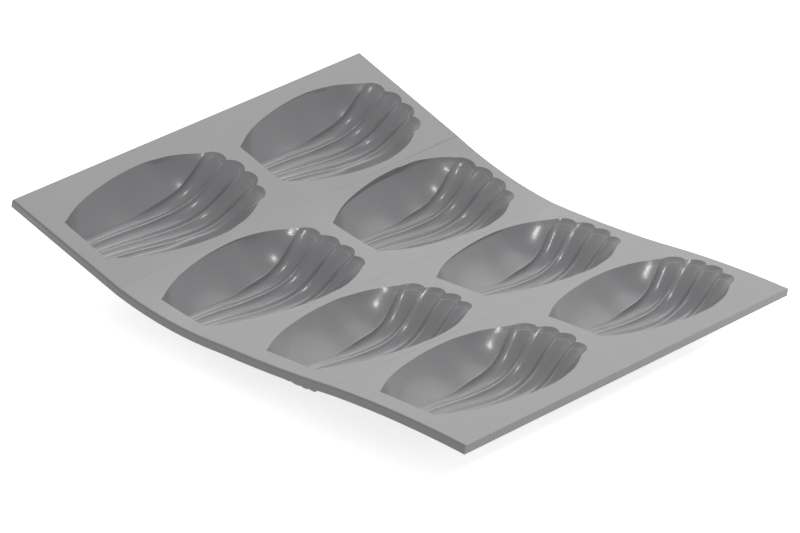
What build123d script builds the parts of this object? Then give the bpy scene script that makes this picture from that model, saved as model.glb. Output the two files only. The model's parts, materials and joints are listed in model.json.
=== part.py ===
from build123d import *
import os

os.makedirs("parts", exist_ok=True)

# Madeleine mould of flexible silicone, eight cups in four columns of two. Lengths are in mm.
# X runs along the sheet, Y across it from the narrow ends of the cups to their scalloped ends.
# The stretches between two webs are numbered 1 to 4 from the raised left end.

# Flat sheet
sheet_length = 210.0
sheet_width = 176.0
sheet_thickness = 1.5
edge_depth = 3.1
edge_width = 2.5
edge_round = 0.7
web_width = 1.2

# Places of the cups on the sheet
column_pitch = 49.8
row_pitch = 85.1
front_margin = 7.3

# Bend and twist of the relaxed sheet, over one column each. A positive bend turns the right end up.
column_bends = [0.3, 17.5, 5.6, -7.1]
column_twists = [-1.4, -3.1, -1.1, 0.0]
steps_in_a_column = 8

# How the sheet's middle lies above the surface that the mould stands on
middle_height = 16.3
middle_roll = 0.55
middle_pitch = -0.08
middle_shift_x = -0.47
middle_shift_y = 0.13

# Cup, first half: sections from the straight narrow end on, which lean back less and less
wall = 1.6
rim_margin = 4.0
section_along = [0.0, 4.0, 12.0, 24.0, 36.0]
section_half_width = [11.3, 13.4, 17.1, 20.3, 22.1]
section_tilts = [30.0, 22.0, 12.0, 4.0, 0.0]
section_depth = [10.8, 10.3, 10.4, 11.6, 13.3]
section_inner_ridge = [4.2, 4.3, 4.7, 5.3, 5.9]
section_outer_ridge = [7.2, 7.4, 8.1, 9.2, 10.2]
section_inner_drop = [0.3, 0.5, 0.7, 0.9, 1.0]
section_outer_drop = [0.3, 0.3, 0.4, 0.8, 1.4]
section_flute_shares = [0.16, 0.17, 0.19, 0.22, 0.24]
section_side_shares = [0.03, 0.04, 0.05, 0.06, 0.06]

# Cup, second half: sections that turn about a line above the floor until they lie level,
# so that the flutes run up the scalloped end
pivot_along = 45.0
pivot_height = 9.0
turn_angles = [0.0, 22.5, 45.0, 67.5, 90.0]
turn_half_width = [22.5, 22.3, 22.1, 21.9, 21.8]
turn_shoulder = [9.0, 9.6, 10.4, 11.2, 12.0]
turn_reach = [23.3, 25.0, 27.4, 30.4, 31.2]
turn_inner_ridge = [6.3, 6.7, 7.2, 7.8, 8.3]
turn_outer_ridge = [10.9, 11.8, 13.0, 14.6, 16.0]
turn_inner_drop = [1.1, 1.0, 0.9, 1.0, 1.3]
turn_outer_drop = [3.4, 4.0, 4.3, 4.4, 4.3]
turn_side_shares = [0.06, 0.07, 0.09, 0.1, 0.1]
turn_flute_share = 0.25
ridge_round = 0.5

# Worked out from the sizes above
half_length = sheet_length / 2
half_width = sheet_width / 2
half_web = web_width / 2
cover_height = pivot_height + edge_depth
cover_reach = column_pitch / 2 + edge_depth
sheet_middle = Location(
    (middle_shift_x, middle_shift_y, middle_height), (middle_roll, middle_pitch, 0)
)
upright = Location(Plane.YZ)
facing = Location(Plane.XZ)


def walk(place, column, distance):
    """Follows the bent sheet inside one column, from a place on it."""
    length = distance / steps_in_a_column
    turned = length / column_pitch / 2
    half_turn = Location(
        (0, 0, 0), (column_twists[column] * turned, -column_bends[column] * turned, 0)
    )
    for _ in range(steps_in_a_column):
        place = place * half_turn * Location((length, 0, 0)) * half_turn
    return place


def on_sheet(along):
    """Place on the sheet's upper face, at a distance along it from the middle."""
    inner, outer = (1, 0) if along < 0 else (2, 3)
    near_end = max(-column_pitch, min(column_pitch, along))
    place = walk(sheet_middle, inner, near_end)
    if near_end != along:
        place = walk(place, outer, along - near_end)
    return place


def cup_place(column, row):
    """Place of a cup's narrow end, in the middle of its column."""
    across = front_margin - half_width + row * row_pitch
    return on_sheet((column - 1.5) * column_pitch) * Location((0, across, 0))


def stretch_ends(column):
    """Both ends of one column's stretch of the sheet, less half of each web."""
    start = (column - 2) * column_pitch + half_web
    end = (column - 1) * column_pitch - half_web
    return (-half_length if column == 0 else start), (half_length if column == 3 else end)


def edged_section(along):
    """Section of the sheet with the deeper edge at front and back."""
    with BuildSketch(Plane(on_sheet(along) * upright)) as section:
        with BuildLine():
            inside = half_width - edge_width
            for side in (-1, 1):
                rounded = (side * half_width, -edge_round)
                flat = (side * (half_width - edge_round), 0)
                TangentArc(rounded, flat, tangent=(0, 1))
                Polyline(
                    rounded,
                    (side * half_width, -edge_depth),
                    (side * inside, -edge_depth),
                    (side * inside, -sheet_thickness),
                )
            Line((edge_round - half_width, 0), (half_width - edge_round, 0))
            Line((-inside, -sheet_thickness), (inside, -sheet_thickness))
        make_face()
    return section.sketch.face()


def end_section(along):
    """Section of the deeper edge at the left and right ends."""
    with BuildSketch(Plane(on_sheet(along) * upright)) as section:
        with BuildLine():
            for side in (-1, 1):
                rounded = (side * half_width, -edge_round)
                flat = (side * (half_width - edge_round), 0)
                TangentArc(rounded, flat, tangent=(0, 1))
                Line(rounded, (side * half_width, -edge_depth))
            Line((edge_round - half_width, 0), (half_width - edge_round, 0))
            Line((-half_width, -edge_depth), (half_width, -edge_depth))
        make_face()
    return section.sketch.face()


def cover_section(along):
    """Section of the space above the sheet's middle layer."""
    with BuildSketch(Plane(on_sheet(along) * upright)) as section:
        with Locations((0, cover_height / 2 - sheet_thickness / 4)):
            Rectangle(sheet_width, cover_height + sheet_thickness / 2)
    return section.sketch.face()


def cup_section(place, width, shoulder, ridges, share, side_share, skin):
    """Fluted section of a cup: two broad flutes at the sides, four narrow ones on the floor."""
    ridge_points = [Vector(out, -reach - skin) for out, reach in ridges]
    mirrored = [Vector(-p.X, p.Y) for p in reversed(ridge_points[1:])]
    side = width + skin
    points = [Vector(-side, -shoulder), *mirrored, *ridge_points, Vector(side, -shoulder)]
    last = len(points) - 2
    top = rim_margin - pivot_height
    with BuildSketch(Plane(place * facing)) as section:
        with BuildLine():
            for i, (first, second) in enumerate(zip(points, points[1:])):
                across = second - first
                bulge = Vector(across.Y, -across.X) * (share if 0 < i < last else side_share)
                ThreePointArc(first, (first + second) / 2 + bulge, second)
            Polyline((-side, -shoulder), (-side, top), (side, top), (side, -shoulder))
        make_face()
    return section.sketch.face()


def cup_sections(skin):
    """Sections of a cup's inside, or of its outside with the wall as skin."""
    sections = []
    for i, along in enumerate(section_along):
        start = along - skin if i == 0 else along
        reach = pivot_height + section_depth[i]
        ridges = [
            (0, reach),
            (section_inner_ridge[i], reach - section_inner_drop[i]),
            (section_outer_ridge[i], reach - section_outer_drop[i]),
        ]
        leaning = Location((0, start, 0), (section_tilts[i], 0, 0))
        place = leaning * Location((0, 0, pivot_height))
        width, share = section_half_width[i], section_flute_shares[i]
        sections.append(
            cup_section(place, width, pivot_height, ridges, share, section_side_shares[i], skin)
        )
    for i, angle in enumerate(turn_angles):
        reach = turn_reach[i]
        ridges = [
            (0, reach),
            (turn_inner_ridge[i], reach - turn_inner_drop[i]),
            (turn_outer_ridge[i], reach - turn_outer_drop[i]),
        ]
        place = Location((0, pivot_along, pivot_height), (angle, 0, 0))
        width, shoulder = turn_half_width[i], turn_shoulder[i]
        sections.append(
            cup_section(
                place, width, shoulder, ridges, turn_flute_share, turn_side_shares[i], skin
            )
        )
    return sections


def cup_ridges(cup):
    """Ridges between the four narrow flutes, which run the length of the cup's floor."""
    widest = max(turn_inner_ridge)
    lines = cup.edges().filter_by(lambda edge: edge.length > pivot_along)
    return lines.filter_by(lambda edge: edge.center().Z < 0 and abs(edge.center().X) < widest)


# Inside and outside of one cup, used eight times
with BuildPart() as cup_inside:
    loft(sections=cup_sections(0))
    fillet(cup_ridges(cup_inside), ridge_round)

with BuildPart() as cup_outside:
    loft(sections=cup_sections(wall))

# Sheet of each column, with its two cup openings and its share of the deeper edge
slabs = []
for column in range(4):
    start, end = stretch_ends(column)
    left = start + edge_width if column == 0 else start
    right = end - edge_width if column == 3 else end
    with BuildPart() as slab:
        loft(sections=[edged_section(x) for x in (left, (left + right) / 2, right)])
        if column == 0:
            loft(sections=[end_section(x) for x in (start, left)])
        if column == 3:
            loft(sections=[end_section(x) for x in (right, end)])
    slabs.append(slab.part)
    with BuildPart() as deck_panel:
        add(slab.part)
        for row in range(2):
            add(cup_inside.part.moved(cup_place(column, row)), mode=Mode.SUBTRACT)
    deck_panel.part.label = f"deck_panel_{column + 1}"
    export_step(deck_panel.part, f"parts/deck_panel_{column + 1}.step")

# Thin webs between the columns, where the mould folds
for web in range(3):
    fold = (web - 1) * column_pitch
    with BuildPart() as flex_web:
        loft(sections=[edged_section(x) for x in (fold - half_web, fold + half_web)])
    flex_web.part.label = f"flex_web_{web + 1}"
    export_step(flex_web.part, f"parts/flex_web_{web + 1}.step")

# Cup walls below the sheet. Soft cups that bear on the surface are flat where they touch it.
for column in range(4):
    middle = (column - 1.5) * column_pitch
    cover_places = (middle - cover_reach, middle, middle + cover_reach)
    for row in range(2):
        place = cup_place(column, row)
        with BuildPart() as cup_shell:
            add(cup_outside.part.moved(place))
            add(cup_inside.part.moved(place), mode=Mode.SUBTRACT)
            add(slabs[column], mode=Mode.SUBTRACT)
            loft(
                sections=[cover_section(x) for x in cover_places], mode=Mode.SUBTRACT
            )
            with Locations((0, 0, -half_width)):
                Box(2 * sheet_length, 2 * sheet_width, sheet_width, mode=Mode.SUBTRACT)
        name = f"cup_shell_{('front', 'back')[row]}_{column + 1}"
        cup_shell.part.label = name
        export_step(cup_shell.part, f"parts/{name}.step")
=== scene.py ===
import json
import math

import bpy
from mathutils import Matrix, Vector

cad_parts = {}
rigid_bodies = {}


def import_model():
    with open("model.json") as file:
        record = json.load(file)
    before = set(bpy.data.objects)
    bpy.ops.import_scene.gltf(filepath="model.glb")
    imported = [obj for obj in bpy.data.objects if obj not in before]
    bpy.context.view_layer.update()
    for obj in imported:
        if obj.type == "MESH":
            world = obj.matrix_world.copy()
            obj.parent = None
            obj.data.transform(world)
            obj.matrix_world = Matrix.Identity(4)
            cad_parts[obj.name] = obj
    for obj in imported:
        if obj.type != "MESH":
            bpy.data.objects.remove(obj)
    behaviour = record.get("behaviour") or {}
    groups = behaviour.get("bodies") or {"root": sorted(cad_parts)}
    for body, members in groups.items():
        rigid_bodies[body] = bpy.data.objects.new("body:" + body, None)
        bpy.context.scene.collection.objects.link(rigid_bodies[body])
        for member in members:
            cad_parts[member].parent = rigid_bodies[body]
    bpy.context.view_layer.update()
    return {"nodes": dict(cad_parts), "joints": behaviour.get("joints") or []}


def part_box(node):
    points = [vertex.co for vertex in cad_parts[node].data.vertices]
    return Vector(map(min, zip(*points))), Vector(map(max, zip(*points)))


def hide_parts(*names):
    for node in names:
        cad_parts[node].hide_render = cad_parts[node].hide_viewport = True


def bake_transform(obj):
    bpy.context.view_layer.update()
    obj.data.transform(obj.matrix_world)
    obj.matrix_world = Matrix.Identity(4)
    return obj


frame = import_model()

# Camera, in metres and degrees, found from the outline of the sheet and its eight cups
CAMERA_PLACE = (0.50789, -0.608378, 0.381659)
CAMERA_TURN = (65.2514, -3.7883, 41.5924)
LENS = 111.8
SENSOR = 36.0
NEAREST_SEEN = 0.05

# Folds, floor and lamps
MM = 0.001
FOLD_HALF_WIDTH = 0.6 * MM
FOLD_CUTS = 7
WELD = 0.005 * MM
SMOOTH_ANGLE = 32.0
FLOOR_SIZE = 8.0
FLOOR_DROP = 0.05 * MM
LAMP_DISTANCE = 1.3

# Linear colours of floor and surroundings
BLACK = (0.0, 0.0, 0.0, 1.0)
WHITE = (1.0, 1.0, 1.0, 1.0)
SKY_GREY = (0.47, 0.47, 0.47, 1.0)
FLOOR_GREY = (0.62, 0.62, 0.62, 1.0)
FLOOR_WHITE = (0.99, 0.99, 0.99, 1.0)
FLOOR_GLOW = (0.75, 0.75, 0.75, 1.0)
FLOOR_ROUGHNESS = 0.9

# Linear colours of the silicone
GREY = (0.352, 0.354, 0.352, 1.0)
GREY_PALE = (0.385, 0.387, 0.386, 1.0)
GREY_DEEP = (0.296, 0.298, 0.304, 1.0)
# The cups' tones are darker than the sheet's: painted shade inside the cups
CUP_SHADED_GREY = (0.236, 0.236, 0.247, 1.0)
CUP_SHADED_PALE = (0.262, 0.264, 0.267, 1.0)
CUP_SHADED_DEEP = (0.192, 0.195, 0.199, 1.0)
DUST = (0.47, 0.47, 0.46, 1.0)
# Painted highlight along the cups' ridges
RIDGE_HIGHLIGHT = (0.52, 0.52, 0.52, 1.0)

# Finish of the silicone: the sheet is satin, the cups are smoother and have a soft gloss
DECK_ROUGHNESS = 0.5
CUP_ROUGHNESS = 0.34
CUP_GLOSS = 0.5
GLOSS_ROUGHNESS = 0.16
SILICONE_IOR = 1.43
DECK_GRAIN = 0.5
CUP_GRAIN = 0.3
GRAIN_HEIGHT = 0.03 * MM
PATCH_SHARE = 0.5
SPECK_SHARE = 0.25
PATCH_ROUGHNESS = 0.08
WIPE_SHINE = 0.05
DUST_ROUGHNESS = 0.3
DUST_AMOUNT = 0.35

# Noise scales, in waves per metre
DECK_PATCH_SCALE = 26.0
CUP_PATCH_SCALE = 40.0
SPECK_SCALE = 900.0
GRAIN_SCALE = 2200.0
WAVE_SCALE = 60.0
WAVE_SHARE = 0.6
WIPE_SCALES = (30.0, 900.0, 200.0)
WIPE_TURN = (0.0, 0.0, 0.5)
DUST_SCALE = 420.0
DUST_SPREAD_SCALE = 19.0

# Noise values between which each mark comes in
PATCH_STEP = (0.3, 0.7)
SPECK_STEP = (0.55, 0.8)
WIPE_STEP = (0.56, 0.78)
DUST_STEP = (0.58, 0.72)
DUST_SPREAD_STEP = (0.4, 0.7)

# A face is level from the second number on and steep below the first
WALL_LEVEL = (0.8, 0.92)
RIDGE_LEVEL = (0.68, 0.8)
DUST_LEVEL = (0.3, 0.95)

# How far below the surface a ridge is felt, and how strongly its painted highlight is toned
RIDGE_REACH = 0.7 * MM
RIDGE_GAIN = 5.0
RIDGE_SAMPLES = 8


def new_group(name, inputs, outputs):
    """Shader node group with float, vector or colour sockets."""
    group = bpy.data.node_groups.new(name, "ShaderNodeTree")
    for socket, kind, value in inputs:
        made = group.interface.new_socket(socket, in_out="INPUT", socket_type=kind)
        if value is not None:
            made.default_value = value
    for socket, kind in outputs:
        group.interface.new_socket(socket, in_out="OUTPUT", socket_type=kind)
    return group, group.nodes.new("NodeGroupInput"), group.nodes.new("NodeGroupOutput")


def noise(tree, coordinates, scale, detail, roughness):
    node = tree.nodes.new("ShaderNodeTexNoise")
    node.inputs["Detail"].default_value = detail
    node.inputs["Roughness"].default_value = roughness
    tree.links.new(coordinates, node.inputs["Vector"])
    if isinstance(scale, (int, float)):
        node.inputs["Scale"].default_value = scale
    else:
        tree.links.new(scale, node.inputs["Scale"])
    return node.outputs["Fac"]


def math_node(tree, operation, a, b=None, clamp=False):
    node = tree.nodes.new("ShaderNodeMath")
    node.operation = operation
    node.use_clamp = clamp
    for socket, value in zip(node.inputs, (a, b)):
        if value is None:
            continue
        if isinstance(value, (int, float)):
            socket.default_value = value
        else:
            tree.links.new(value, socket)
    return node.outputs[0]


def ramp(tree, value, low, high, to_low=0.0, to_high=1.0):
    node = tree.nodes.new("ShaderNodeMapRange")
    node.interpolation_type = "SMOOTHSTEP"
    ends = {"From Min": low, "From Max": high, "To Min": to_low, "To Max": to_high}
    for name, number in ends.items():
        node.inputs[name].default_value = number
    tree.links.new(value, node.inputs["Value"])
    return node.outputs["Result"]


def mix_colour(tree, factor, first, second):
    node = tree.nodes.new("ShaderNodeMix")
    node.data_type = "RGBA"
    tree.links.new(factor, node.inputs["Factor"])
    for socket, value in ((node.inputs[6], first), (node.inputs[7], second)):
        if isinstance(value, tuple):
            socket.default_value = value
        else:
            tree.links.new(value, socket)
    return node.outputs[2]


def own_normal(tree):
    """Height part of the face's direction, in the piece's own frame."""
    facing = tree.nodes.new("ShaderNodeNewGeometry")
    own = tree.nodes.new("ShaderNodeVectorTransform")
    own.vector_type = "NORMAL"
    own.convert_from = "WORLD"
    own.convert_to = "OBJECT"
    split = tree.nodes.new("ShaderNodeSeparateXYZ")
    tree.links.new(facing.outputs["True Normal"], own.inputs["Vector"])
    tree.links.new(own.outputs["Vector"], split.inputs["Vector"])
    return split.outputs["Z"]


def make_mottle():
    """Uneven tone of moulded silicone: cloudy patches with finer specks in them."""
    group, given, out = new_group(
        "silicone_mottle",
        [("Vector", "NodeSocketVector", None),
         ("Patch Scale", "NodeSocketFloat", DECK_PATCH_SCALE),
         ("Speck Scale", "NodeSocketFloat", SPECK_SCALE)],
        [("Patches", "NodeSocketFloat"), ("Specks", "NodeSocketFloat")],
    )
    place = given.outputs["Vector"]
    patches = noise(group, place, given.outputs["Patch Scale"], detail=5.0, roughness=0.55)
    specks = noise(group, place, given.outputs["Speck Scale"], detail=2.0, roughness=0.6)
    group.links.new(ramp(group, patches, *PATCH_STEP), out.inputs["Patches"])
    group.links.new(ramp(group, specks, *SPECK_STEP), out.inputs["Specks"])
    return group


def make_grain():
    """Height of the mould tool's fine blasted grain, with faint long waves under it."""
    group, given, out = new_group(
        "moulded_grain",
        [("Vector", "NodeSocketVector", None),
         ("Grain Scale", "NodeSocketFloat", GRAIN_SCALE),
         ("Wave Scale", "NodeSocketFloat", WAVE_SCALE),
         ("Wave Share", "NodeSocketFloat", WAVE_SHARE)],
        [("Height", "NodeSocketFloat")],
    )
    place = given.outputs["Vector"]
    grain = noise(group, place, given.outputs["Grain Scale"], detail=2.0, roughness=0.65)
    waves = noise(group, place, given.outputs["Wave Scale"], detail=2.0, roughness=0.4)
    lifted = math_node(group, "MULTIPLY", waves, given.outputs["Wave Share"])
    group.links.new(math_node(group, "ADD", grain, lifted), out.inputs["Height"])
    return group


def make_wear():
    """Thin wiping marks and settled dust, on faces that look up."""
    group, given, out = new_group(
        "wiped_dust",
        [("Vector", "NodeSocketVector", None), ("Amount", "NodeSocketFloat", DUST_AMOUNT)],
        [("Dust", "NodeSocketFloat"), ("Wipes", "NodeSocketFloat")],
    )
    stretch = group.nodes.new("ShaderNodeMapping")
    stretch.inputs["Rotation"].default_value = WIPE_TURN
    stretch.inputs["Scale"].default_value = WIPE_SCALES
    place = given.outputs["Vector"]
    group.links.new(place, stretch.inputs["Vector"])
    wipes = noise(group, stretch.outputs["Vector"], 1.0, detail=3.0, roughness=0.6)
    group.links.new(ramp(group, wipes, *WIPE_STEP), out.inputs["Wipes"])
    dust = noise(group, place, DUST_SCALE, detail=6.0, roughness=0.75)
    spread = noise(group, place, DUST_SPREAD_SCALE, detail=2.0, roughness=0.5)
    flecks = ramp(group, dust, *DUST_STEP)
    fleck = math_node(group, "MULTIPLY", flecks, ramp(group, spread, *DUST_SPREAD_STEP))
    level = ramp(group, own_normal(group), *DUST_LEVEL)
    settled = math_node(group, "MULTIPLY", fleck, level)
    settled = math_node(group, "MULTIPLY", settled, given.outputs["Amount"])
    group.links.new(settled, out.inputs["Dust"])
    return group


MOTTLE = make_mottle()
GRAIN = make_grain()
WEAR = make_wear()


def place_group(tree, group, coordinates, **values):
    node = tree.nodes.new("ShaderNodeGroup")
    node.node_tree = group
    tree.links.new(coordinates, node.inputs["Vector"])
    for name, value in values.items():
        node.inputs[name.replace("_", " ")].default_value = value
    return node


def ridge_highlight_mask(tree):
    """Mask of the narrow ridges on a cup's floor, where a pale highlight is painted."""
    inward = tree.nodes.new("ShaderNodeAmbientOcclusion")
    inward.inside = True
    inward.only_local = True
    inward.samples = RIDGE_SAMPLES
    inward.inputs["Distance"].default_value = RIDGE_REACH
    bent = math_node(tree, "SUBTRACT", 1.0, inward.outputs["AO"])
    bent = math_node(tree, "MULTIPLY", bent, RIDGE_GAIN, True)
    level = ramp(tree, own_normal(tree), *RIDGE_LEVEL)
    return math_node(tree, "MULTIPLY", bent, level)


def silicone(name, tones, roughness, bump, patch_scale):
    """Silicone in a base tone with pale and deep patches. The sheet's steep faces, which are
    the rims of its openings, take the cups' darker tone as painted shade, and their gloss. The
    cups' ridges get a painted highlight."""
    base, pale, deep = tones
    material = bpy.data.materials.new(name)
    material.use_nodes = True
    tree = material.node_tree
    shader = tree.nodes["Principled BSDF"]
    coordinates = tree.nodes.new("ShaderNodeTexCoord").outputs["Object"]
    mottle = place_group(tree, MOTTLE, coordinates, Patch_Scale=patch_scale)
    grain = place_group(tree, GRAIN, coordinates)
    wear = place_group(tree, WEAR, coordinates, Amount=DUST_AMOUNT)

    level = math_node(tree, "ABSOLUTE", own_normal(tree))
    steep = ramp(tree, level, *WALL_LEVEL, to_low=1.0, to_high=0.0)

    patches, specks = mottle.outputs["Patches"], mottle.outputs["Specks"]
    tone = mix_colour(tree, patches, deep, pale)
    tone = mix_colour(tree, math_node(tree, "MULTIPLY", patches, PATCH_SHARE), base, tone)
    tone = mix_colour(tree, math_node(tree, "MULTIPLY", specks, SPECK_SHARE), tone, deep)
    # Painted shade: the sheet's steep faces take the cups' darker tone
    if base == GREY:
        tone = mix_colour(tree, steep, tone, CUP_SHADED_GREY)
    else:
        # Painted highlight: a pale line along the cups' ridges
        tone = mix_colour(tree, ridge_highlight_mask(tree), tone, RIDGE_HIGHLIGHT)
    tone = mix_colour(tree, wear.outputs["Dust"], tone, DUST)
    tree.links.new(tone, shader.inputs["Base Color"])

    rough = math_node(tree, "MULTIPLY", patches, PATCH_ROUGHNESS)
    rough = math_node(tree, "ADD", rough, roughness - PATCH_ROUGHNESS / 2)
    if base == GREY:
        smoother = math_node(tree, "MULTIPLY", steep, roughness - CUP_ROUGHNESS)
        rough = math_node(tree, "SUBTRACT", rough, smoother)
        coat = math_node(tree, "MULTIPLY", steep, CUP_GLOSS)
        tree.links.new(coat, shader.inputs["Coat Weight"])
    else:
        shader.inputs["Coat Weight"].default_value = CUP_GLOSS
    shine = math_node(tree, "MULTIPLY", wear.outputs["Wipes"], WIPE_SHINE)
    rough = math_node(tree, "SUBTRACT", rough, shine)
    dull = math_node(tree, "MULTIPLY", wear.outputs["Dust"], DUST_ROUGHNESS)
    rough = math_node(tree, "ADD", rough, dull, True)
    tree.links.new(rough, shader.inputs["Roughness"])

    height = tree.nodes.new("ShaderNodeBump")
    height.inputs["Strength"].default_value = bump
    height.inputs["Distance"].default_value = GRAIN_HEIGHT
    tree.links.new(grain.outputs["Height"], height.inputs["Height"])
    tree.links.new(height.outputs["Normal"], shader.inputs["Normal"])
    shader.inputs["IOR"].default_value = SILICONE_IOR
    shader.inputs["Coat Roughness"].default_value = GLOSS_ROUGHNESS
    shader.inputs["Coat IOR"].default_value = SILICONE_IOR
    return material


DECK_SILICONE = silicone(
    "deck_silicone", (GREY, GREY_PALE, GREY_DEEP), DECK_ROUGHNESS, DECK_GRAIN, DECK_PATCH_SCALE
)
# The cups take the darker tones, painted shade inside the cups
CUP_SILICONE = silicone(
    "cup_silicone", (CUP_SHADED_GREY, CUP_SHADED_PALE, CUP_SHADED_DEEP), CUP_ROUGHNESS, CUP_GRAIN, CUP_PATCH_SCALE
)

# The moulding's own pieces
for name, node in frame["nodes"].items():
    node.data.materials.clear()
    finish = CUP_SILICONE if name.startswith("cup_shell") else DECK_SILICONE
    node.data.materials.append(finish)


def middle_of(node):
    low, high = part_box(node)
    return (Vector(low) + Vector(high)) / 2


def fold_strip(joint):
    """The web at a fold, copied and cut finely across between its two columns, in place of the
    hidden web.
    """
    web = joint["deforming_nodes"][0]["node"]
    source = frame["nodes"][web]
    bpy.ops.object.select_all(action="DESELECT")
    strip = bpy.data.objects.new(f"fold_strip_{web[-1]}", source.data.copy())
    bpy.context.scene.collection.objects.link(strip)
    strip.select_set(True)
    bpy.context.view_layer.objects.active = strip

    first, second = joint["parent"], joint["child"]
    axis = Vector(joint["axis"]).normalized()
    step = middle_of(f"deck_panel_{second[-1]}") - middle_of(f"deck_panel_{first[-1]}")
    along = (step - step.dot(axis) * axis).normalized()
    place = Vector(joint["pos_m"])

    bpy.ops.object.mode_set(mode="EDIT")
    bpy.ops.mesh.select_all(action="SELECT")
    bpy.ops.mesh.remove_doubles(threshold=WELD)
    for cut in range(1, FOLD_CUTS + 1):
        across = (2 * cut / (FOLD_CUTS + 1) - 1) * FOLD_HALF_WIDTH
        bpy.ops.mesh.select_all(action="SELECT")
        bpy.ops.mesh.bisect(plane_co=place + along * across, plane_no=along)
    bpy.ops.mesh.select_all(action="SELECT")
    bpy.ops.mesh.normals_make_consistent(inside=False)
    bpy.ops.object.mode_set(mode="OBJECT")
    bpy.ops.object.shade_smooth_by_angle(angle=math.radians(SMOOTH_ANGLE))

    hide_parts(web)
    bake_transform(strip)


for joint in frame["joints"]:
    fold_strip(joint)


def looked_at(tree):
    """Mask that is 1 for rays from the camera and for rays that are mirrored or pass through."""
    rays = tree.nodes.new("ShaderNodeLightPath").outputs
    mirrored = math_node(tree, "MAXIMUM", rays["Is Glossy Ray"], rays["Is Transmission Ray"])
    return math_node(tree, "MAXIMUM", rays["Is Camera Ray"], mirrored)


# Pale floor, white to the camera, with the mould's shadow
bpy.ops.object.select_all(action="DESELECT")
bpy.ops.mesh.primitive_plane_add(size=FLOOR_SIZE, location=(0, 0, -FLOOR_DROP))
floor = bpy.context.object
floor.name = "floor"
floor_material = bpy.data.materials.new("pale_floor")
floor_material.use_nodes = True
floor_tree = floor_material.node_tree
floor_shader = floor_tree.nodes["Principled BSDF"]
seen_any = looked_at(floor_tree)
floor_colour = mix_colour(floor_tree, seen_any, FLOOR_GREY, FLOOR_WHITE)
floor_tree.links.new(floor_colour, floor_shader.inputs["Base Color"])
floor_shader.inputs["Roughness"].default_value = FLOOR_ROUGHNESS
floor_shader.inputs["Specular IOR Level"].default_value = 0.0
glow = mix_colour(floor_tree, seen_any, BLACK, FLOOR_GLOW)
floor_tree.links.new(glow, floor_shader.inputs["Emission Color"])
floor_shader.inputs["Emission Strength"].default_value = 1.0
floor.data.materials.append(floor_material)

world = bpy.data.worlds.new("studio")
bpy.context.scene.world = world
world.use_nodes = True
world_tree = world.node_tree
background = world_tree.nodes["Background"]
sky = mix_colour(world_tree, looked_at(world_tree), SKY_GREY, WHITE)
world_tree.links.new(sky, background.inputs["Color"])
background.inputs["Strength"].default_value = 1.0


def softbox(name, azimuth, elevation, size, power):
    """Square lamp that looks at the mould, seen from there at these angles in degrees."""
    turn, rise = math.radians(azimuth), math.radians(elevation)
    level = math.cos(rise)
    away = Vector((math.cos(turn) * level, math.sin(turn) * level, math.sin(rise)))
    bpy.ops.object.light_add(type="AREA", location=away * LAMP_DISTANCE)
    lamp = bpy.context.object
    lamp.name = name
    lamp.data.size = size
    lamp.data.energy = power
    lamp.rotation_euler = away.to_track_quat("Z", "Y").to_euler()


softbox("right_softbox", azimuth=3, elevation=48, size=0.15, power=3.0)
softbox("back_softbox", azimuth=90, elevation=40, size=0.8, power=2.0)
softbox("back_left_softbox", azimuth=135, elevation=40, size=0.8, power=4.3)

camera_data = bpy.data.cameras.new("camera")
camera_data.sensor_width = SENSOR
camera_data.lens = LENS
camera_data.clip_start = NEAREST_SEEN
camera = bpy.data.objects.new("camera", camera_data)
bpy.context.scene.collection.objects.link(camera)
camera.location = CAMERA_PLACE
camera.rotation_euler = [math.radians(angle) for angle in CAMERA_TURN]
bpy.context.scene.camera = camera
bpy.context.scene.view_settings.view_transform = "Standard"
